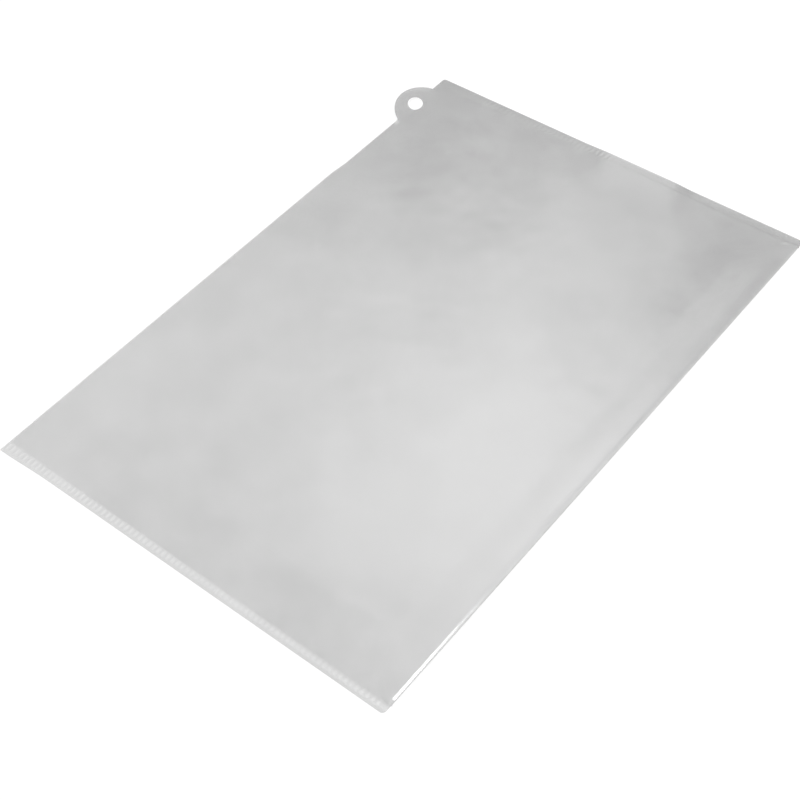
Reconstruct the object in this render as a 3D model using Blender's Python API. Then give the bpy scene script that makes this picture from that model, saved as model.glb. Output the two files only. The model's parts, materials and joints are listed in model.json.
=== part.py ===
"""Clear leaflet holder: a pocket of folded plastic film, welded at its head and foot and open along one side.

X runs from the open mouth to the folded spine, Y from the foot to the head, and Z up. The back sheet lies on the
XY plane, with the origin under the middle of the holder. Lengths are in metres and angles in degrees.
"""

import math

import bmesh
import bpy
from mathutils import Vector

# The leaflet that the pocket takes, and the room round it.
LEAFLET_WIDTH = 0.210
LEAFLET_LENGTH = 0.297
EASE_ACROSS = 0.004
EASE_ALONG = 0.008

# The film, and the gap kept between neighbouring solids.
FILM = 0.0003
CLEARANCE = 0.0003

# How high the front film stands: the gap inside the mouth, the roll of the spine, and the slopes between them.
MOUTH_GAP = 0.0006
SPINE_HEIGHT = 0.0024
SPINE_DEPTH = 0.0014
SPINE_SLOPE = 0.050
WELD_SLOPE = 0.018

# The welded bands, and the ribs that the sealing bar presses into them.
WELD_WIDTH = 0.0045
RIB_PITCH = 0.0027
RIB_WIDTH = 0.0014
RIB_HEIGHT = 0.00015
RIB_DRAFT = 0.0003
RIB_MARGIN = 0.0006

# Round corners of the die-cut blank.
SPINE_CORNER = 0.0035
MOUTH_CORNER = 0.0015

# The hanging tab on the mouth edge, which curls up a little, and the hole punched through both of its layers.
TAB_RADIUS = 0.0170
TAB_REACH = 0.0093
TAB_FROM_HEAD = 0.0256
TAB_CURL = 18.0
HOLE_DIAMETER = 0.0081
HOLE_INSET = 0.0003

# How much of the mouth edge belongs to each corner of the front film, which stays welded as the mouth opens.
CORNER_REACH = 0.085

# How finely curves and slopes are divided.
ARC_STEPS = 24
ROLL_STEPS = 10
SLOPE_STEPS = 6

HOLDER_WIDTH = LEAFLET_WIDTH + EASE_ACROSS
HOLDER_LENGTH = LEAFLET_LENGTH + EASE_ALONG + 2 * WELD_WIDTH
MOUTH_X = -HOLDER_WIDTH / 2
SPINE_X = HOLDER_WIDTH / 2
HEAD_Y = HOLDER_LENGTH / 2
WELD_Y = HEAD_Y - WELD_WIDTH
SEAM_HEIGHT = 2 * FILM + CLEARANCE
SPINE_AXIS_X = SPINE_X - SPINE_DEPTH
SHEET_EDGE_X = SPINE_AXIS_X - CLEARANCE
SHEET_END_Y = WELD_Y - CLEARANCE
TAB_Y = HEAD_Y - TAB_FROM_HEAD
CREASE_SLOPE = CORNER_REACH / (SHEET_EDGE_X - MOUTH_X)
CREASE_HALF_GAP = CLEARANCE / 2 * math.hypot(1.0, CREASE_SLOPE)


def mix(low, high, share):
    return low + (high - low) * share


def smooth_step(t):
    t = min(max(t, 0.0), 1.0)
    return t * t * (3.0 - 2.0 * t)


def front_underside(x, y):
    """Height of the front film's underside: low at the welds and the mouth, full along the spine."""
    pocket = mix(SPINE_HEIGHT - FILM, FILM + MOUTH_GAP, smooth_step((SHEET_EDGE_X - x) / SPINE_SLOPE))
    return mix(FILM + CLEARANCE, pocket, smooth_step((SHEET_END_Y - abs(y)) / WELD_SLOPE))


def back_underside(x, y):
    return 0.0


def curl_tab(point):
    """Bends what lies past the mouth edge up by the tab's curl."""
    past = MOUTH_X - point.x
    if past > 0:
        curl = math.radians(TAB_CURL)
        point.x = MOUTH_X - past * math.cos(curl)
        point.z += past * math.sin(curl)


def arc(centre, radius, start, end, steps):
    """Points of an arc, with both of its ends, for angles in radians."""
    angles = [mix(start, end, i / steps) for i in range(steps + 1)]
    return [(centre[0] + radius * math.cos(a), centre[1] + radius * math.sin(a)) for a in angles]


def tab_outline():
    """The round edge of the tab, from the head side of the mouth edge to the foot side."""
    centre = (MOUTH_X - TAB_REACH + TAB_RADIUS, TAB_Y)
    half_angle = math.acos((TAB_RADIUS - TAB_REACH) / TAB_RADIUS)
    return arc(centre, TAB_RADIUS, math.pi - half_angle, math.pi + half_angle, ARC_STEPS)


def hole_outline():
    centre = (MOUTH_X + HOLE_INSET, TAB_Y)
    return arc(centre, HOLE_DIAMETER / 2, 0.0, 2 * math.pi, ARC_STEPS)[:-1]


def crease_y(x):
    """Where the crease between the front sheet and its head corner runs, from the spine's end to the mouth."""
    return SHEET_END_Y - CREASE_SLOPE * (SHEET_EDGE_X - x)


def slope_cuts():
    """Lines along which the front film is divided, so that its slopes come out round."""
    steps = [(i + 1) / SLOPE_STEPS for i in range(SLOPE_STEPS)]
    across = [SHEET_EDGE_X - SPINE_SLOPE * step for step in steps]
    along = [side * (SHEET_END_Y - WELD_SLOPE * step) for step in steps for side in (-1, 1)]
    return across, along


def divide(bm, axis, place):
    normal = Vector((axis == "X", axis == "Y", 0))
    everything = bm.verts[:] + bm.edges[:] + bm.faces[:]
    bmesh.ops.bisect_plane(bm, geom=everything, dist=1e-6, plane_co=normal * place, plane_no=normal)


def fill_outlines(loops):
    """A flat face inside the first loop, with the other loops as holes in it."""
    bm = bmesh.new()
    edges = []
    for loop in loops:
        verts = [bm.verts.new((x, y, 0.0)) for x, y in loop]
        edges += [bm.edges.new(pair) for pair in zip(verts, verts[1:] + verts[:1])]
    bmesh.ops.triangle_fill(bm, edges=edges, use_beauty=True)
    return bm


def thicken(bm, thickness):
    """Turns a surface into a closed solid that stands this much higher than it."""
    raised = bmesh.ops.extrude_face_region(bm, geom=bm.faces[:], use_keep_orig=True)["geom"]
    verts = [element for element in raised if isinstance(element, bmesh.types.BMVert)]
    bmesh.ops.translate(bm, verts=verts, vec=(0.0, 0.0, thickness))
    bmesh.ops.recalc_face_normals(bm, faces=bm.faces[:])


def film_mesh(loops, underside, cuts_across, cuts_along):
    """One panel of film inside an outline, lying on the heights that underside gives."""
    bm = fill_outlines(loops)
    for x in cuts_across:
        divide(bm, "X", x)
    for y in cuts_along:
        divide(bm, "Y", y)
    bmesh.ops.triangulate(bm, faces=bm.faces[:])
    for vert in bm.verts:
        vert.co.z = underside(vert.co.x, vert.co.y)
        curl_tab(vert.co)
    thicken(bm, FILM)
    return bm


def plastic(name, colour, roughness, alpha):
    """Clear plastic: the more alpha, the milkier it is."""
    material = bpy.data.materials.new(name)
    material.use_nodes = True
    shader = material.node_tree.nodes["Principled BSDF"]
    shader.inputs["Base Color"].default_value = (*colour, 1.0)
    shader.inputs["Roughness"].default_value = roughness
    shader.inputs["Metallic"].default_value = 0.0
    shader.inputs["Alpha"].default_value = alpha
    return material


def clear_film(node):
    return plastic(node + "_film", (0.78, 0.79, 0.80), 0.12, 0.40)


def milky_weld(node):
    return plastic(node + "_plastic", (0.84, 0.85, 0.85), 0.30, 0.65)


def add_object(name, bm, material, origin=(0.0, 0.0, 0.0)):
    """Makes a named object of a mesh that is given in the holder's frame, with its own origin at a pivot."""
    bmesh.ops.translate(bm, verts=bm.verts[:], vec=-Vector(origin))
    mesh = bpy.data.meshes.new(name)
    bm.to_mesh(mesh)
    bm.free()
    mesh.shade_smooth()
    mesh.set_sharp_from_angle(angle=math.radians(30))
    mesh.materials.append(material)
    obj = bpy.data.objects.new(name, mesh)
    obj.location = origin
    bpy.context.scene.collection.objects.link(obj)
    return obj


def add_back_sheet():
    outline = [(SHEET_EDGE_X, -SHEET_END_Y), (SHEET_EDGE_X, SHEET_END_Y), (MOUTH_X, SHEET_END_Y)]
    outline += tab_outline()
    outline.append((MOUTH_X, -SHEET_END_Y))
    bm = film_mesh([outline, hole_outline()], back_underside, [MOUTH_X], [])
    add_object("back_sheet", bm, clear_film("back_sheet"))


def add_front_sheet():
    """The middle of the front film, which swings on the spine."""
    spine_end = SHEET_END_Y - CREASE_HALF_GAP
    mouth_end = crease_y(MOUTH_X) - CREASE_HALF_GAP
    outline = [(SHEET_EDGE_X, -spine_end), (SHEET_EDGE_X, spine_end), (MOUTH_X, mouth_end), (MOUTH_X, -mouth_end)]
    bm = film_mesh([outline], front_underside, *slope_cuts())
    pivot = (SPINE_AXIS_X, 0.0, SPINE_HEIGHT / 2)
    add_object("front_sheet", bm, clear_film("front_sheet"), pivot)


def add_front_corner(name, side, with_tab):
    """A corner of the front film, which swings on the weld at this side: 1 is the head and -1 the foot."""
    tip_x = SHEET_EDGE_X - CREASE_HALF_GAP / CREASE_SLOPE
    mouth_end = crease_y(MOUTH_X) + CREASE_HALF_GAP
    outline = [(tip_x, SHEET_END_Y), (MOUTH_X, SHEET_END_Y)]
    if with_tab:
        outline += tab_outline()
    outline.append((MOUTH_X, mouth_end))
    holes = [hole_outline()] if with_tab else []
    loops = [[(x, side * y) for x, y in loop] for loop in [outline, *holes]]
    across, along = slope_cuts()
    bm = film_mesh(loops, front_underside, [*across, MOUTH_X], along)
    pivot = (0.0, side * SHEET_END_Y, FILM + CLEARANCE)
    add_object(name, bm, clear_film(name), pivot)


def roll_section(y):
    """The rolled fold cut across at y: its outer line from the top round to the bottom, and its inner line back."""
    half_height = (front_underside(SHEET_EDGE_X, y) + FILM) / 2
    angles = [math.radians(mix(90.0, -90.0, i / ROLL_STEPS)) for i in range(ROLL_STEPS + 1)]
    rows = []
    for inset in (0.0, FILM):
        depth = SPINE_DEPTH - inset
        height = half_height - inset
        row = [(SPINE_AXIS_X + depth * math.cos(a), y, half_height + height * math.sin(a)) for a in angles]
        rows.append(row)
    outer, inner = rows
    return outer + inner[::-1]


def add_spine():
    ends = sorted(slope_cuts()[1] + [-SHEET_END_Y, SHEET_END_Y])
    bm = bmesh.new()
    sections = [[bm.verts.new(point) for point in roll_section(y)] for y in ends]
    for near, far in zip(sections, sections[1:]):
        for i, vert in enumerate(near):
            j = (i + 1) % len(near)
            bm.faces.new((vert, near[j], far[j], far[i]))
    for section in (sections[0], sections[-1]):
        for i in range(ROLL_STEPS):
            bm.faces.new((section[i], section[i + 1], section[-i - 2], section[-i - 1]))
    bmesh.ops.recalc_face_normals(bm, faces=bm.faces[:])
    add_object("folded_spine", bm, clear_film("folded_spine"))


def weld_outline():
    """The head weld's band, with the blank's round corners at its outer side."""
    mouth_centre = (MOUTH_X + MOUTH_CORNER, HEAD_Y - MOUTH_CORNER)
    spine_corner = min(SPINE_CORNER, WELD_WIDTH - RIB_MARGIN)
    spine_centre = (SPINE_X - spine_corner, HEAD_Y - spine_corner)
    outline = [(MOUTH_X, WELD_Y), (SPINE_X, WELD_Y)]
    outline += arc(spine_centre, spine_corner, 0.0, math.pi / 2, SLOPE_STEPS)
    outline += arc(mouth_centre, MOUTH_CORNER, math.pi / 2, math.pi, SLOPE_STEPS)
    return outline


def rib_mesh(side):
    """A row of low ribs across the band, each with drawn-in sides and its foot sunk in the band."""
    room = HOLDER_WIDTH - MOUTH_CORNER - SPINE_CORNER
    count = int(room / RIB_PITCH)
    first = MOUTH_X + MOUTH_CORNER + (room - (count - 1) * RIB_PITCH) / 2
    middle_y = side * (HEAD_Y - WELD_WIDTH / 2)
    half_length = WELD_WIDTH / 2 - RIB_MARGIN
    levels = [(SEAM_HEIGHT - FILM / 2, 0.0), (SEAM_HEIGHT + RIB_HEIGHT, RIB_DRAFT)]
    corners = [(-1, -1), (1, -1), (1, 1), (-1, 1)]
    bm = bmesh.new()
    for i in range(count):
        x = first + i * RIB_PITCH
        rings = []
        for z, inset in levels:
            half = (RIB_WIDTH / 2 - inset, half_length - inset)
            rings.append([bm.verts.new((x + sx * half[0], middle_y + sy * half[1], z)) for sx, sy in corners])
        lower, upper = rings
        bm.faces.new(lower[::-1])
        bm.faces.new(upper)
        for j in range(len(corners)):
            k = (j + 1) % len(corners)
            bm.faces.new((lower[j], lower[k], upper[k], upper[j]))
    return bm


def add_weld(name, side):
    """The ribbed band at the head (1) or the foot (-1), where both layers of film are melted together."""
    bm = fill_outlines([[(x, side * y) for x, y in weld_outline()]])
    thicken(bm, SEAM_HEIGHT)
    band = add_object(name, bm, milky_weld(name))
    ribs = add_object(name + "_ribs", rib_mesh(side), band.data.materials[0])
    ribs.hide_render = True
    ribs.display_type = "WIRE"
    join = band.modifiers.new("ribs", "BOOLEAN")
    join.operation = "UNION"
    join.solver = "EXACT"
    join.object = ribs


def main():
    for obj in list(bpy.data.objects):
        bpy.data.objects.remove(obj, do_unlink=True)
    add_back_sheet()
    add_front_sheet()
    add_front_corner("front_head_corner", 1, with_tab=True)
    add_front_corner("front_foot_corner", -1, with_tab=False)
    add_spine()
    add_weld("head_weld", 1)
    add_weld("foot_weld", -1)


main()
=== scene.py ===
"""Looks of a clear leaflet holder: its folded film, its ribbed welds and the soft studio round it."""

import json
import math

import bmesh
import bpy
from mathutils import Matrix, Vector, noise


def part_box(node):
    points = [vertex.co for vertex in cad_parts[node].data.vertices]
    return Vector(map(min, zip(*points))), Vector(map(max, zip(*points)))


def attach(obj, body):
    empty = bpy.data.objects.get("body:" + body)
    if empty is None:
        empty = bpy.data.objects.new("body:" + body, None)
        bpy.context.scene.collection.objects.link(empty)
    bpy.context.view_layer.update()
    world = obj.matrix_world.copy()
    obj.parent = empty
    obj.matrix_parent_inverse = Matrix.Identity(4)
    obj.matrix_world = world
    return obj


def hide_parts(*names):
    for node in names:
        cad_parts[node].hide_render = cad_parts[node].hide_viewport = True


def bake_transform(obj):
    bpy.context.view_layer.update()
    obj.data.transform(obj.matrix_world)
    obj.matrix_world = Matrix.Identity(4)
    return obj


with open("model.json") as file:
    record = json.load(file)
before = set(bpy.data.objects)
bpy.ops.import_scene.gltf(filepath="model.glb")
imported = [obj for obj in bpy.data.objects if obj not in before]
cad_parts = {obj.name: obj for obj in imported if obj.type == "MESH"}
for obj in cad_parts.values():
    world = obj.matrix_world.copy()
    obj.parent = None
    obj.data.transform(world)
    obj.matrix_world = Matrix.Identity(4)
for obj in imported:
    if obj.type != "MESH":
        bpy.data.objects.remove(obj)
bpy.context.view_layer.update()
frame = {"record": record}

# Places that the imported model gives.
weld_low, weld_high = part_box("head_weld")
roll_low, roll_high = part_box("folded_spine")
hole_low, hole_high = frame["record"]["physics"]["openings"][0]["box_m"]
MOUTH_X = weld_low.x
SPINE_X = weld_high.x
HEAD_Y = weld_high.y
WELD_Y = weld_low.y
HOLE_X = (hole_low[0] + hole_high[0]) / 2
TAB_Y = (hole_low[1] + hole_high[1]) / 2

# The film, its tab and the hole punched through it. The tab bends up along its root, between two notches,
# and the edge of the mouth is cut back a little below it.
FILM = 0.0002
TAB_RADIUS = 0.01659
TAB_REACH = 0.00895
TAB_CURL = math.radians(14.67)
TAB_CENTRE = MOUTH_X - TAB_REACH + TAB_RADIUS
NOTCH_DEPTH = 0.0031
UPPER_NOTCH = 0.0010
LOWER_NOTCH = 0.0004
EDGE_RELIEF = 0.0009
RELIEF_LENGTH = 0.042
RELIEF_EASE = 0.010
CURL_START = MOUTH_X + NOTCH_DEPTH
CURL_RADIUS = 0.0008
ROOT_EASE = 0.0030
TAB_END = CURL_START + ROOT_EASE
HOLE_SHIFT = 0.0002
HOLE_LENGTH = 0.0092
HOLE_WIDTH = 0.0079
HOLE_TURN = math.radians(-70.5)
TAB_GAP = 0.00004

# The folded spine, which stands a little proud of the ends of the welds.
ROLL_PROUD = 0.0005
ROLL_DEPTH = 0.0026
ROLL_EDGE = roll_high.x + ROLL_PROUD
ROLL_X = ROLL_EDGE - ROLL_DEPTH
ROLL_HEIGHT = 0.0018
FOOT_ROLL_CLOSE = 0.0010
HEAD_ROLL_CLOSE = 0.0018

# The air between the two films.
SEAM_GAP = 0.00002
MOUTH_GAP = 0.00006
MOUTH_RISE = 0.030
POCKET_GAP = 0.00045
SPINE_SLOPE = 0.020
WELD_SLOPE = 0.028

# A stretch of the head that has buckled: its films lie close together there and rise to the weld, with a
# crease on the side of the spine.
BUCKLE_X = 0.018
BUCKLE_SLANT = 0.42
BUCKLE_HALF = 0.018
BUCKLE_SOFT_SIDE = 0.018
BUCKLE_STEEP_SIDE = 0.0115
BUCKLE_START = 0.115
BUCKLE_HEIGHT = 0.00050
BUCKLE_GAP = 0.00006
PRESS_START = 0.095
PRESS_END = 0.145

# Soft unevenness of film that has been folded and welded.
WAVE_STRETCH = 1.5
WAVE_SIZE = 0.050
WAVE_HEIGHT = 0.00014
WAVE_SEED = 0.0
RIPPLE_SIZE = 0.010
RIPPLE_HEIGHT = 0.00005
RIPPLE_SEED = 3.1
BACK_WAVE_HEIGHT = 0.00005
BACK_WAVE_SEED = 7.3

# The welded bands: a plain flange at the outer edge, and ribs that the sealing bar leaves inside it.
FLANGE = 0.0011
RIB_PITCH = 0.0027
RIB_HEIGHT = 0.00009
RIB_STEEPNESS = 0.4
RIB_END = 0.0006
FAINT_RIBS = 0.38
RIB_FADE_START = -0.060
RIB_FADE_LENGTH = 0.100
RIB_FADE = 0.8
SPINE_RIBS_START = 0.080
PRESSED_STRETCH = 0.022
PRESSED_SHARE = 0.85
PRESSED_CONTRAST = 1.3
PRESSED_SEED = 5.7
UNDERSIDE_SHARE = 0.4
SPINE_CORNER = 0.0020
HEAD_MOUTH_CORNER = 0.0015
FOOT_MOUTH_CORNER = 0.0002
FOOT_FLARE = 0.0008
FLARE_LENGTH = 0.030

# What the sealing bar did to the plastic, and painted light: a point's seal_and_painted_light value makes it
# clearer and glossier above 0, and duller below 0. Besides the seal it holds painted shade at the tab's tip,
# beside the head weld and along the welds' inner edges, and painted highlights round the fold and on the
# head weld.
SEAL_AND_PAINTED_LIGHT = "seal_and_painted_light"
SEAL_FADE = 0.0022
SEAL_AT_SPINE = -0.0010
SEAL_AT_MOUTH = 0.0004
FLANGE_SEAL = -0.4
SPINE_FLANGE_SEAL = -1.1
# Painted shade: darker and duller along the inner edge of each weld, most towards the spine.
WELD_EDGE_PAINTED_SHADE = -2.5
# Painted highlight: the film round the fold made clearer and glossier.
FOLD_PAINTED_HIGHLIGHT = 0.7
FOLD_FADE = 0.0013
# Painted shade: the tab's film darker towards its tip.
TAB_PAINTED_SHADE = -1.0
# Painted shade in a line in the film beside the head weld, past the crease.
GROOVE_PAINTED_SHADE = -0.55
GROOVE_WIDTH = 0.0011
CREASE_X = 0.045
CREASE_EASE = 0.012
# Painted highlight on the outer part of the head weld, past the crease.
HEAD_PAINTED_HIGHLIGHT = 3.4

# How finely the meshes are divided, the angle past which an edge looks sharp, and how close counts as
# touching.
CELL = 0.003
FINE_CELL = 0.0013
ROLL_STEPS = 18
CURL_STEPS = 3
CLOSE_STEPS = 4
ARC_STEPS = 48
RIB_STEPS = 8
BAND_ROWS = 14
CORNER_STEPS = 8
SHARP_ANGLE = math.radians(40.0)
TOUCH = 1e-6


def mix(low, high, share):
    return low + (high - low) * share


def smooth_step(t):
    t = min(max(t, 0.0), 1.0)
    return t * t * (3.0 - 2.0 * t)


def between(low, high, step):
    """Evenly spaced places between two ends, about a step apart, without the ends."""
    count = max(1, round((high - low) / step))
    return [mix(low, high, i / count) for i in range(1, count)]


def arc(centre, radius, start, end, steps):
    angles = [mix(start, end, i / steps) for i in range(steps + 1)]
    return [(centre[0] + radius * math.cos(a), centre[1] + radius * math.sin(a)) for a in angles]


# Form of the film

def wave(x, y, size, seed):
    """Smooth random height between about -1 and 1, longer along the holder's diagonal than across it."""
    along = (x + y) / (WAVE_STRETCH * size)
    across = (x - y) / size
    return noise.noise(Vector((along, across, seed)))


def tab_half(x):
    """Half of the tab's width at this place between its tip and its root."""
    return math.sqrt(TAB_RADIUS**2 - (TAB_CENTRE - x) ** 2)


def in_tab(x, y):
    """1 in the tab, fading to 0 in the film behind it. Notches part it from the film beside its root."""
    beside = math.hypot(x - TAB_CENTRE, y - TAB_Y) > TAB_RADIUS + TOUCH
    return 0.0 if beside else smooth_step((TAB_END - x) / (TAB_END - CURL_START))


def rise_to_spine(x):
    return smooth_step((x - ROLL_X + SPINE_SLOPE) / SPINE_SLOPE)


def across_buckle(x, y):
    """1 along the middle of the buckled stretch at the head, and 0 to both sides of it."""
    from_middle = x - BUCKLE_X - BUCKLE_SLANT * (HEAD_Y - y)
    side = BUCKLE_STEEP_SIDE if from_middle > 0.0 else BUCKLE_SOFT_SIDE
    return 1.0 - smooth_step((abs(from_middle) - BUCKLE_HALF) / side)


def buckle(x, y):
    """How far the films and the head weld stand off the ground in the buckled stretch."""
    along = max(0.0, (y - BUCKLE_START) / (HEAD_Y - BUCKLE_START))
    return BUCKLE_HEIGHT * across_buckle(x, y) * along**2


def roll_close(y):
    """Length of film in which the roll closes beside the weld at this end."""
    return HEAD_ROLL_CLOSE if y > 0.0 else FOOT_ROLL_CLOSE


def opening(x, y):
    """0 at the welds and 1 in the free film between them, which opens sooner along the spine."""
    slope = mix(WELD_SLOPE, roll_close(y), rise_to_spine(x))
    return smooth_step((WELD_Y - abs(y)) / slope)


def back_height(x, y):
    """Underside of the back film, on the ground at the spine and the welds, except in the buckle."""
    lift = BACK_WAVE_HEIGHT * (1.0 + wave(x, y, WAVE_SIZE, BACK_WAVE_SEED))
    return lift * opening(x, y) * (1.0 - rise_to_spine(x)) + buckle(x, y)


def pocket_gap(x, y):
    """Air between the films: hardly any at the welds, a little in the pocket and most under the spine."""
    waves = WAVE_HEIGHT * wave(x, y, WAVE_SIZE, WAVE_SEED)
    ripples = RIPPLE_HEIGHT * wave(x, y, RIPPLE_SIZE, RIPPLE_SEED)
    pressed = across_buckle(x, y) * smooth_step((y - PRESS_START) / (PRESS_END - PRESS_START))
    pocket = mix(POCKET_GAP + (waves + ripples), BUCKLE_GAP, pressed)
    free = mix(MOUTH_GAP, pocket, smooth_step((x - MOUTH_X) / MOUTH_RISE))
    free = mix(free, ROLL_HEIGHT - 2 * FILM, rise_to_spine(x))
    return mix(SEAM_GAP, mix(free, TAB_GAP, in_tab(x, y)), opening(x, y))


def curled(x, y, height):
    """A point of film at this height above the ground, after the tab has curled up."""
    past = CURL_START - x
    if past <= 0.0 or in_tab(x, y) < 1.0:
        return Vector((x, y, height))
    angle = min(past / CURL_RADIUS, TAB_CURL)
    straight = past - CURL_RADIUS * angle
    reach = CURL_RADIUS * math.sin(angle) + straight * math.cos(angle)
    lift = CURL_RADIUS * (1.0 - math.cos(angle)) + straight * math.sin(angle)
    return Vector((CURL_START - reach + height * math.sin(angle), y, lift + height * math.cos(angle)))


def back_point(u, y, level):
    """Where the back film's point lies: level is 0 on its underside and FILM on its upper side."""
    return curled(u, y, back_height(u, y) + level)


def front_point(u, y, level):
    """Where the front film's point lies. Past ROLL_X the film goes half a turn round the spine."""
    if u <= ROLL_X:
        return curled(u, y, back_height(u, y) + FILM + pocket_gap(u, y) + level)
    angle = math.pi * (0.5 - (u - ROLL_X) / roll_length())
    half_height = FILM + pocket_gap(ROLL_X, y) / 2
    inset = FILM - level
    depth = ROLL_DEPTH - inset
    height = half_height - inset
    return Vector((ROLL_X + depth * math.cos(angle), y, half_height + height * math.sin(angle)))


def roll_length():
    return math.pi / 2 * (ROLL_DEPTH + ROLL_HEIGHT / 2)


# Meshes

def fill_outlines(loops):
    """A flat face inside the first loop, with the other loops as holes in it."""
    bm = bmesh.new()
    edges = []
    for loop in loops:
        verts = [bm.verts.new((x, y, 0.0)) for x, y in loop]
        edges += [bm.edges.new(pair) for pair in zip(verts, verts[1:] + verts[:1])]
    bmesh.ops.triangle_fill(bm, edges=edges, use_beauty=True)
    bmesh.ops.dissolve_limit(bm, angle_limit=0.001, verts=bm.verts[:], edges=bm.edges[:])
    return bm


def divide(bm, axis, place):
    normal = Vector((axis == "X", axis == "Y", 0))
    everything = bm.verts[:] + bm.edges[:] + bm.faces[:]
    bmesh.ops.bisect_plane(bm, geom=everything, dist=TOUCH, plane_co=normal * place, plane_no=normal)


def blank_outline(far_edge):
    """One panel of the die-cut blank, spread flat, with its layer of the tab, the notches and the relief."""
    half_angle = math.asin(tab_half(CURL_START) / TAB_RADIUS)
    upper_end = TAB_Y + tab_half(MOUTH_X) + UPPER_NOTCH
    lower_end = TAB_Y - tab_half(MOUTH_X) - LOWER_NOTCH
    outline = [(far_edge, -WELD_Y), (far_edge, WELD_Y), (MOUTH_X, WELD_Y), (MOUTH_X, upper_end)]
    outline += arc((TAB_CENTRE, TAB_Y), TAB_RADIUS, math.pi - half_angle, math.pi + half_angle, ARC_STEPS)
    outline += [(MOUTH_X + EDGE_RELIEF, lower_end), (MOUTH_X + EDGE_RELIEF, lower_end - RELIEF_LENGTH)]
    outline += [(MOUTH_X, lower_end - RELIEF_LENGTH - RELIEF_EASE), (MOUTH_X, -WELD_Y)]
    return outline


def hole_outline():
    """The punched hole, which is a little oval."""
    outline = []
    for x, y in arc((0.0, 0.0), 0.5, 0.0, 2 * math.pi, ARC_STEPS)[:-1]:
        point = Matrix.Rotation(HOLE_TURN, 2) @ Vector((HOLE_LENGTH * x, HOLE_WIDTH * y))
        outline.append((HOLE_X + HOLE_SHIFT + point.x, TAB_Y + point.y))
    return outline


def film_cuts(far_edge):
    """Lines that divide a panel: close together at the tab, the welds and the spine."""
    slope_start = ROLL_X - SPINE_SLOPE
    across = [MOUTH_X, CURL_START, TAB_END, slope_start]
    across += [CURL_START - CURL_RADIUS * TAB_CURL * i / CURL_STEPS for i in range(1, CURL_STEPS + 1)]
    across += between(MOUTH_X - TAB_REACH, TAB_END, FINE_CELL)
    across += between(TAB_END, slope_start, CELL)
    across += between(slope_start, ROLL_X, FINE_CELL)
    if far_edge > ROLL_X:
        across += [ROLL_X, *between(ROLL_X, far_edge, (far_edge - ROLL_X) / ROLL_STEPS)]
    along = between(-WELD_Y + WELD_SLOPE, WELD_Y - WELD_SLOPE, CELL)
    for side in (-1, 1):
        close = WELD_Y - roll_close(side)
        along += [side * (WELD_Y - WELD_SLOPE), side * close]
        along += [side * y for y in between(WELD_Y - WELD_SLOPE, close, FINE_CELL)]
        along += [side * y for y in between(close, WELD_Y, (WELD_Y - close) / CLOSE_STEPS)]
    return across, along


def film_mesh(far_edge, place):
    """A panel of film: cut out flat, divided, thickened and then laid where place says."""
    bm = fill_outlines([blank_outline(far_edge), hole_outline()])
    across, along = film_cuts(far_edge)
    for x in across:
        divide(bm, "X", x)
    for y in along:
        divide(bm, "Y", y)
    raised = bmesh.ops.extrude_face_region(bm, geom=bm.faces[:], use_keep_orig=True)["geom"]
    for element in raised:
        if isinstance(element, bmesh.types.BMVert):
            element.co.z = FILM
    for vert in bm.verts:
        vert.co = place(*vert.co)
    bmesh.ops.recalc_face_normals(bm, faces=bm.faces[:])
    return bm


def band_columns(mouth_corner):
    """Places along a weld, closer together at its round corners."""
    first = MOUTH_X + mouth_corner
    last = SPINE_X - SPINE_CORNER
    turns = [math.sin(math.pi / 2 * (i + 1) / CORNER_STEPS) for i in range(CORNER_STEPS)]
    columns = [first - mouth_corner * turn for turn in turns[::-1]]
    columns += [first, *between(first, last, RIB_PITCH / RIB_STEPS), last]
    return columns + [last + SPINE_CORNER * turn for turn in turns]


def band_edge(x, mouth_corner, flare):
    """Outer edge of a weld, as on the head's side, round at both of its corners and flared at the mouth."""
    straight = HEAD_Y + flare * smooth_step((MOUTH_X + FLARE_LENGTH - x) / FLARE_LENGTH)
    at_spine = (x - SPINE_X + SPINE_CORNER, SPINE_CORNER)
    at_mouth = (MOUTH_X + mouth_corner - x, mouth_corner)
    for past, radius in (at_spine, at_mouth):
        if past > 0.0:
            return straight - radius + math.sqrt(max(radius**2 - past**2, 0.0))
    return straight


def rib(x, y):
    """Height of the ribs, from -0.5 in their furrows to 0.5 on their crests, less where they are faint."""
    crest = smooth_step(0.5 + RIB_STEEPNESS * math.cos(2 * math.pi * x / RIB_PITCH)) - 0.5
    inner = smooth_step((abs(y) - WELD_Y) / RIB_END)
    outer = smooth_step((HEAD_Y - FLANGE - abs(y)) / RIB_END)
    corner = smooth_step((SPINE_X - SPINE_CORNER - x) / RIB_PITCH)
    fade = 1.0 if y > 0.0 else RIB_FADE * smooth_step((x - RIB_FADE_START) / RIB_FADE_LENGTH)
    fade *= 1.0 - smooth_step((x - SPINE_RIBS_START) / (SPINE_X - SPINE_RIBS_START))
    pressed = smooth_step(PRESSED_SHARE + PRESSED_CONTRAST * wave(x, 0.0, PRESSED_STRETCH, PRESSED_SEED))
    return crest * inner * outer * corner * mix(FAINT_RIBS, 1.0, pressed * (1.0 - fade))


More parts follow.
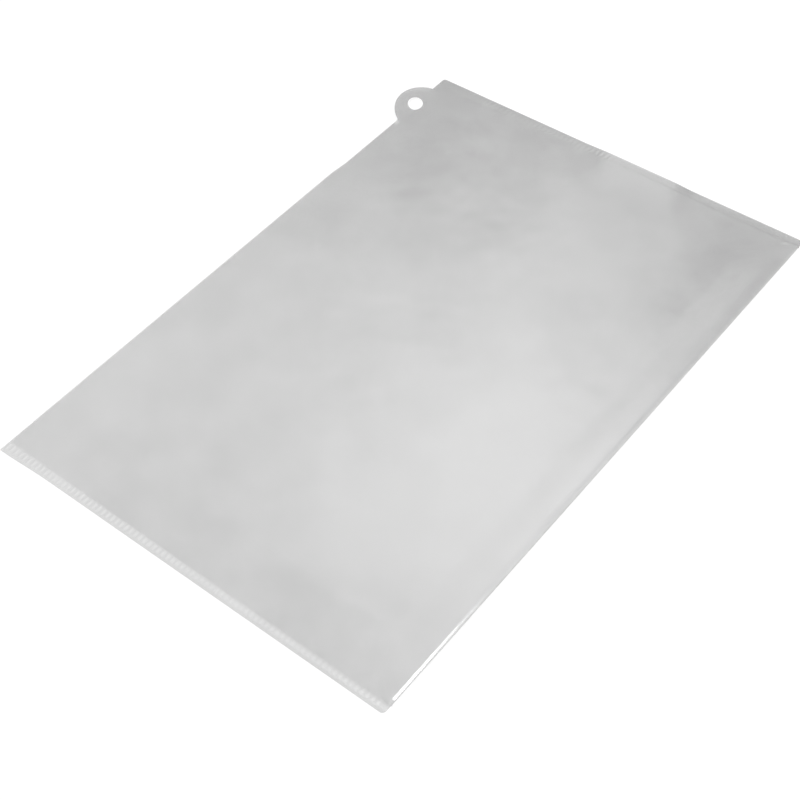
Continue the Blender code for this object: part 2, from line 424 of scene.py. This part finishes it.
def band_mesh(side):
    """A welded band at the head (1) or the foot (-1): a fine closed sheet with ribs on both faces."""
    bm = bmesh.new()
    grids = []
    mouth_corner, flare = (HEAD_MOUTH_CORNER, 0.0) if side > 0 else (FOOT_MOUTH_CORNER, FOOT_FLARE)
    for is_top in (True, False):
        grid = []
        for x in band_columns(mouth_corner):
            edge = band_edge(x, mouth_corner, flare)
            column = []
            for i in range(BAND_ROWS + 1):
                y = mix(WELD_Y, edge, i / BAND_ROWS)
                relief = RIB_HEIGHT * rib(x, side * y)
                z = 2 * FILM + relief if is_top else UNDERSIDE_SHARE * (RIB_HEIGHT / 2 - abs(relief))
                column.append(bm.verts.new((x, side * y, z + buckle(x, side * y))))
            grid.append(column)
        grids.append(grid)
    for grid in grids:
        for near, far in zip(grid, grid[1:]):
            for i in range(BAND_ROWS):
                bm.faces.new((near[i], near[i + 1], far[i + 1], far[i]))
    rims = [rim_of(grid) for grid in grids]
    for i in range(len(rims[0])):
        j = (i + 1) % len(rims[0])
        bm.faces.new((rims[0][i], rims[0][j], rims[1][j], rims[1][i]))
    bmesh.ops.recalc_face_normals(bm, faces=bm.faces[:])
    return bm


def rim_of(grid):
    """The border of a grid of vertices, in order."""
    inner = [column[0] for column in grid]
    outer = [column[-1] for column in grid]
    return inner + grid[-1][1:-1] + outer[::-1] + grid[0][-2:0:-1]


def is_inside(face):
    """Whether a face lies where film meets weld, or where the two films meet under the spine."""
    at_weld = all(abs(abs(vert.co.y) - WELD_Y) < TOUCH for vert in face.verts)
    under_spine = all(abs(vert.co.x - ROLL_X) < TOUCH and vert.co.z < 1.5 * FILM for vert in face.verts)
    return at_weld or under_spine


def add_piece(name, bm, materials, seal_and_painted_light):
    for face in bm.faces:
        face.material_index = is_inside(face)
    mesh = bpy.data.meshes.new(name)
    bm.to_mesh(mesh)
    bm.free()
    mesh.shade_smooth()
    mesh.set_sharp_from_angle(angle=SHARP_ANGLE)
    for material in materials:
        mesh.materials.append(material)
    sealed = mesh.attributes.new(SEAL_AND_PAINTED_LIGHT, "FLOAT", "POINT")
    sealed.data.foreach_set("value", [seal_and_painted_light(vert.co) for vert in mesh.vertices])
    piece = bpy.data.objects.new(name, mesh)
    bpy.context.scene.collection.objects.link(piece)
    return piece


# Materials

PATCH_SIZE = 0.035
PATCH_DETAIL = 5.0
PATCH_ROUGHNESS = 0.65
PATCH_RANGE = (0.3, 0.7)


def put(tree, kind, **settings):
    node = tree.nodes.new(kind)
    for key, value in settings.items():
        setattr(node, key, value)
    return node


def feed(tree, socket, value):
    """Links a socket to another one, or sets it to a plain value."""
    if isinstance(value, bpy.types.NodeSocket):
        tree.links.new(value, socket)
    else:
        socket.default_value = value


def calculate(tree, operation, *values):
    node = put(tree, "ShaderNodeMath", operation=operation)
    for socket, value in zip(node.inputs, values):
        feed(tree, socket, value)
    return node.outputs["Value"]


def remap(tree, value, from_low, from_high, to_low, to_high):
    """Carries a value from one range into another, with soft ends."""
    node = put(tree, "ShaderNodeMapRange", interpolation_type="SMOOTHSTEP")
    for socket, item in zip(node.inputs, (value, from_low, from_high, to_low, to_high)):
        feed(tree, socket, item)
    return node.outputs["Result"]


def cloud(tree):
    """Soft random patches, which make the plastic a little uneven."""
    place = put(tree, "ShaderNodeTexCoord")
    texture = put(tree, "ShaderNodeTexNoise")
    feed(tree, texture.inputs["Vector"], place.outputs["Object"])
    texture.inputs["Scale"].default_value = 1.0 / PATCH_SIZE
    texture.inputs["Detail"].default_value = PATCH_DETAIL
    texture.inputs["Roughness"].default_value = PATCH_ROUGHNESS
    return texture.outputs["Fac"]


def surface_gloss(tree, at_right_angles):
    """Share of light that a smooth surface mirrors, by Schlick's rule."""
    weight = put(tree, "ShaderNodeLayerWeight")
    weight.inputs["Blend"].default_value = 0.5
    grazing = calculate(tree, "POWER", weight.outputs["Facing"], 5.0)
    rest = calculate(tree, "SUBTRACT", 1.0, at_right_angles)
    return calculate(tree, "MULTIPLY_ADD", grazing, rest, at_right_angles)


def clear_plastic(name, clear, haze, gloss, mirror, tone, sealed_clear, sealed_mirror):
    """See-through plastic.

    clear is the share of light that a face lets by, haze the share that it scatters, gloss its roughness:
    each is a pair, between which the surface varies softly. mirror is the share of light that it mirrors,
    and tone its colour where it scatters. A point's seal_and_painted_light value, its seal with painted
    shade and painted highlights added, adds to clear and mirror by the two sealed amounts.
    """
    material = bpy.data.materials.new(name)
    material.use_nodes = True
    tree = material.node_tree
    tree.nodes.clear()
    patches = cloud(tree)
    seal_and_painted_light = put(tree, "ShaderNodeAttribute", attribute_name=SEAL_AND_PAINTED_LIGHT).outputs["Fac"]

    unsealed = remap(tree, patches, *PATCH_RANGE, *clear)
    passed = calculate(tree, "MULTIPLY_ADD", seal_and_painted_light, sealed_clear, unsealed)
    tint = put(tree, "ShaderNodeCombineColor")
    for channel in ("Red", "Green", "Blue"):
        feed(tree, tint.inputs[channel], passed)
    through = put(tree, "ShaderNodeBsdfTransparent")
    feed(tree, through.inputs["Color"], tint.outputs["Color"])

    body = put(tree, "ShaderNodeBsdfPrincipled")
    body.inputs["Base Color"].default_value = (*tone, 1.0)
    body.inputs["Roughness"].default_value = 0.5
    hazy = put(tree, "ShaderNodeMixShader")
    feed(tree, hazy.inputs["Fac"], remap(tree, patches, *PATCH_RANGE, *haze))
    feed(tree, hazy.inputs[1], through.outputs["BSDF"])
    feed(tree, hazy.inputs[2], body.outputs["BSDF"])

    shine = put(tree, "ShaderNodeBsdfGlossy")
    shine.inputs["Color"].default_value = (1.0, 1.0, 1.0, 1.0)
    feed(tree, shine.inputs["Roughness"], remap(tree, patches, *PATCH_RANGE, *gloss))
    mirrored = calculate(tree, "MULTIPLY_ADD", seal_and_painted_light, sealed_mirror, mirror)
    surface = put(tree, "ShaderNodeMixShader")
    feed(tree, surface.inputs["Fac"], surface_gloss(tree, mirrored))
    feed(tree, surface.inputs[1], hazy.outputs["Shader"])
    feed(tree, surface.inputs[2], shine.outputs["BSDF"])

    output = put(tree, "ShaderNodeOutputMaterial")
    feed(tree, output.inputs["Surface"], surface.outputs["Shader"])
    return material


def film_plastic(name):
    return clear_plastic(
        name,
        clear=(0.8815, 0.9015),
        haze=(0.004, 0.014),
        gloss=(0.07, 0.15),
        mirror=0.055,
        tone=(0.80, 0.80, 0.80),
        sealed_clear=0.027,
        sealed_mirror=0.035,
    )


def weld_plastic(name, clear):
    return clear_plastic(
        name,
        clear=clear,
        haze=(0.002, 0.010),
        gloss=(0.12, 0.20),
        mirror=0.165,
        tone=(0.88, 0.88, 0.88),
        sealed_clear=0.020,
        sealed_mirror=0.030,
    )


def inside_plastic():
    """For faces where two pieces are one body of plastic on the real holder, so no light turns there."""
    material = bpy.data.materials.new("inside_plastic")
    material.use_nodes = True
    tree = material.node_tree
    tree.nodes.clear()
    through = put(tree, "ShaderNodeBsdfTransparent")
    output = put(tree, "ShaderNodeOutputMaterial")
    feed(tree, output.inputs["Surface"], through.outputs["BSDF"])
    return material


# Pieces


def heat(point):
    """1 where the sealing bar has pressed the films into one, fading to 0 along its inner edge."""
    shift = mix(SEAL_AT_MOUTH, SEAL_AT_SPINE, (point.x - MOUTH_X) / (SPINE_X - MOUTH_X))
    return smooth_step(0.5 + (abs(point.y) - WELD_Y + shift) / SEAL_FADE)


def past_crease(point):
    """1 at the head between the crease of its buckle and the spine, and 0 elsewhere."""
    return smooth_step((point.x - CREASE_X) / CREASE_EASE) if point.y > 0.0 else 0.0


def groove_shade_line(point):
    """1 in a line of painted shade in the film along a part of the head weld, at the sealing bar's edge."""
    return past_crease(point) * (1.0 - smooth_step(abs(point.y - WELD_Y) / GROOVE_WIDTH))


def film_seal_and_painted_light(point):
    """From 0 in free film to 1 beside the welds, between as a painted highlight round the fold, and less in
    painted shade beside the head weld and towards the tab's tip.
    """
    # Painted highlight round the fold.
    fold = FOLD_PAINTED_HIGHLIGHT * smooth_step((point.x - ROLL_X) / FOLD_FADE)
    to_tip = (TAB_END - point.x) / (TAB_END - MOUTH_X + TAB_REACH)
    # Painted shade, darker towards the tab's tip.
    tab = TAB_PAINTED_SHADE * to_tip * in_tab(point.x, point.y)
    # The last term is painted shade in a line beside the head weld.
    return max(heat(point), fold) + tab + GROOVE_PAINTED_SHADE * groove_shade_line(point)


def weld_seal_and_painted_light(point):
    """From -1 in a weld's furrows to 1 on its crests, changed on its flange, with painted shade along its
    inner edge where it was cooler, and a painted highlight on its outer part at the head past the crease.
    """
    to_spine = (point.x - MOUTH_X) / (SPINE_X - MOUTH_X)
    flange = FLANGE_SEAL if point.y > 0.0 else mix(FLANGE_SEAL, SPINE_FLANGE_SEAL, to_spine)
    flange *= smooth_step((abs(point.y) - HEAD_Y + FLANGE + RIB_END) / RIB_END)
    outward = (abs(point.y) - WELD_Y) / (HEAD_Y - WELD_Y)
    # Painted highlight on the head weld's outer part, past the crease.
    painted_highlight = HEAD_PAINTED_HIGHLIGHT * outward * past_crease(point)
    # Painted shade along the weld's inner edge, where heat is low.
    return mix(WELD_EDGE_PAINTED_SHADE, 2.0 * rib(point.x, point.y) + flange + painted_highlight, heat(point))


def add_back_film():
    materials = (film_plastic("back_film_plastic"), inside_plastic())
    piece = add_piece("back_film", film_mesh(ROLL_X, back_point), materials, film_seal_and_painted_light)
    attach(piece, "sleeve")
    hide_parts("back_sheet")


def add_front_film():
    """The front panel and the spine in one piece."""
    materials = (film_plastic("front_film_plastic"), inside_plastic())
    bm = film_mesh(ROLL_X + roll_length(), front_point)
    piece = add_piece("front_film", bm, materials, film_seal_and_painted_light)
    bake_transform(piece)
    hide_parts("front_sheet", "front_head_corner", "front_foot_corner", "folded_spine")


def add_weld(name, node, side, clear):
    materials = (weld_plastic(name + "_plastic", clear), inside_plastic())
    piece = add_piece(name, band_mesh(side), materials, weld_seal_and_painted_light)
    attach(piece, "sleeve")
    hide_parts(node)


# Studio

FLOOR_RADIUS = 12.0
FLOOR_SIDES = 96
FLOOR_DROP = 0.00005
FLOOR_GREY = (0.30, 0.30, 0.30, 1.0)
FLOOR_GLOW = 0.75

# The light in the room by direction: where the soft box begins and ends, and how bright each part is. A lamp
# or a dark flag has a direction, a radius and a strength.
BOX_TURN = 0.114
BOX_SIDES = (0.62, 0.80)
BOX_NEAR_END = (-0.80, -0.50)
BOX_FAR_END = (0.452, 0.704)
BOX_LIGHT = 0.80
ROOM_LIGHT = 0.35
FAR_LIGHT = 0.30
LEAST_LIGHT = 0.10
HORIZON = (0.05, 0.30)
HORIZON_LIGHT = 0.6
LAMPS = (
    ((-0.365, 0.534, 0.763), 0.22, 1.395),
    ((-0.377, 0.624, 0.685), 0.075, 0.50),
    ((-0.432, 0.390, 0.813), 0.072, 0.36),
)
DARK_FLAGS = (
    ((-0.030, 0.617, 0.786), 0.30, 0.35),
    ((-0.295, 0.660, 0.690), 0.10, 0.28),
    ((-0.489, 0.583, 0.649), 0.10, 0.29),
    ((-0.442, 0.508, 0.739), 0.085, 0.29),
    ((-0.340, 0.608, 0.717), 0.085, 0.52),
    ((-0.462, 0.603, 0.651), 0.040, 0.26),
    ((-0.444, 0.323, 0.836), 0.17, 0.30),
)


def add_floor():
    """A pale floor that looks white, and still takes the holder's shadow."""
    bm = bmesh.new()
    bmesh.ops.create_circle(bm, cap_ends=True, radius=FLOOR_RADIUS, segments=FLOOR_SIDES)
    mesh = bpy.data.meshes.new("floor")
    bm.to_mesh(mesh)
    bm.free()
    floor = bpy.data.objects.new("floor", mesh)
    floor.location.z = -FLOOR_DROP
    bpy.context.scene.collection.objects.link(floor)

    material = bpy.data.materials.new("floor_paper")
    material.use_nodes = True
    tree = material.node_tree
    tree.nodes.clear()
    paper = put(tree, "ShaderNodeBsdfDiffuse")
    paper.inputs["Color"].default_value = FLOOR_GREY
    path = put(tree, "ShaderNodeLightPath")
    seen = calculate(tree, "MAXIMUM", path.outputs["Is Camera Ray"], path.outputs["Is Glossy Ray"])
    seen = calculate(tree, "MAXIMUM", seen, path.outputs["Is Transmission Ray"])
    glow = put(tree, "ShaderNodeEmission")
    feed(tree, glow.inputs["Strength"], calculate(tree, "MULTIPLY", seen, FLOOR_GLOW))
    both = put(tree, "ShaderNodeAddShader")
    feed(tree, both.inputs[0], paper.outputs["BSDF"])
    feed(tree, both.inputs[1], glow.outputs["Emission"])
    output = put(tree, "ShaderNodeOutputMaterial")
    feed(tree, output.inputs["Surface"], both.outputs["Shader"])
    mesh.materials.append(material)


def add_world():
    """A dim white room with a large soft box overhead, lamps and flags in it, and a dark far end."""
    world = bpy.data.worlds.new("studio")
    bpy.context.scene.world = world
    world.use_nodes = True
    tree = world.node_tree
    tree.nodes.clear()
    place = put(tree, "ShaderNodeTexCoord").outputs["Generated"]
    direction = put(tree, "ShaderNodeSeparateXYZ")
    feed(tree, direction.inputs["Vector"], place)
    x, y, z = (direction.outputs[axis] for axis in "XYZ")

    sides = remap(tree, calculate(tree, "ABSOLUTE", x), *BOX_SIDES, 1.0, 0.0)
    near_end = remap(tree, y, *BOX_NEAR_END, 0.0, 1.0)
    cloth = calculate(tree, "MULTIPLY", sides, near_end)
    light = calculate(tree, "MULTIPLY_ADD", cloth, BOX_LIGHT, ROOM_LIGHT)

    share_of_y = calculate(tree, "MULTIPLY", y, math.cos(BOX_TURN))
    turned_y = calculate(tree, "MULTIPLY_ADD", x, -math.sin(BOX_TURN), share_of_y)
    far_end = remap(tree, turned_y, *BOX_FAR_END, 1.0, 0.0)
    light = calculate(tree, "MULTIPLY_ADD", light, far_end, FAR_LIGHT)
    for centre, radius, strength in LAMPS:
        light = calculate(tree, "MULTIPLY_ADD", lamp_glow(tree, place, centre, radius), strength, light)
    for centre, radius, strength in DARK_FLAGS:
        light = calculate(tree, "MULTIPLY_ADD", lamp_glow(tree, place, centre, radius), -strength, light)
    light = calculate(tree, "MAXIMUM", light, LEAST_LIGHT)
    light = calculate(tree, "ADD", light, remap(tree, z, *HORIZON, HORIZON_LIGHT, 0.0))

    background = put(tree, "ShaderNodeBackground")
    feed(tree, background.inputs["Strength"], light)
    output = put(tree, "ShaderNodeOutputWorld")
    feed(tree, output.inputs["Surface"], background.outputs["Background"])


def lamp_glow(tree, place, centre, radius):
    """1 in the direction of a lamp or flag, fading to 0 round it."""
    distance = put(tree, "ShaderNodeVectorMath", operation="DISTANCE")
    feed(tree, distance.inputs[0], place)
    distance.inputs[1].default_value = Vector(centre).normalized()
    return remap(tree, distance.outputs["Value"], 0.0, radius, 1.0, 0.0)


def add_strip_lamp(name, place, aim, length, width, turn, power):
    """A long lamp that faces a point, lying across the holder, or turned from there by an angle."""
    lamp = bpy.data.lights.new(name, "AREA")
    lamp.shape = "RECTANGLE"
    lamp.size = length
    lamp.size_y = width
    lamp.energy = power
    holder = bpy.data.objects.new(name, lamp)
    back = (Vector(place) - Vector(aim)).normalized()
    across = Vector((0.0, 1.0, 0.0)).cross(back).normalized()
    facing = Matrix((across, back.cross(across), back)).transposed().to_4x4()
    holder.matrix_world = Matrix.Translation(Vector(place)) @ facing @ Matrix.Rotation(turn, 4, "Z")
    bpy.context.scene.collection.objects.link(holder)


def add_camera():
    """The photograph's view: 42 degrees round from the foot and 49 degrees up, turned a little."""
    aim = Vector((0.01482, -0.03238, -0.0002))
    distance = 0.67725
    azimuth = math.radians(42.085)
    elevation = math.radians(49.189)
    roll = math.radians(-4.353)
    flat = math.cos(elevation)
    back = Vector((math.sin(azimuth) * flat, -math.cos(azimuth) * flat, math.sin(elevation)))
    level = Vector((0.0, 0.0, 1.0)).cross(back).normalized()
    upright = back.cross(level)
    right = math.cos(roll) * level + math.sin(roll) * upright
    up = math.cos(roll) * upright - math.sin(roll) * level

    camera = bpy.data.cameras.new("camera")
    camera.sensor_width = 36.0
    camera.lens = 69.51
    camera.clip_start = 0.01
    holder = bpy.data.objects.new("camera", camera)
    turn = Matrix((right, up, back)).transposed().to_4x4()
    holder.matrix_world = Matrix.Translation(aim + back * distance) @ turn
    bpy.context.scene.collection.objects.link(holder)
    bpy.context.scene.camera = holder


bpy.context.scene.view_settings.view_transform = "Standard"
add_camera()
add_floor()
add_world()
add_strip_lamp(
    "spine_lamp",
    place=(0.49, 0.245, 1.045),
    aim=(0.107, -0.13, 0.0),
    length=0.94,
    width=0.22,
    turn=math.radians(-7.0),
    power=3.5,
)
add_back_film()
add_front_film()
add_weld("head_weld_band", "head_weld", side=1, clear=(0.772, 0.784))
add_weld("foot_weld_band", "foot_weld", side=-1, clear=(0.820, 0.832))
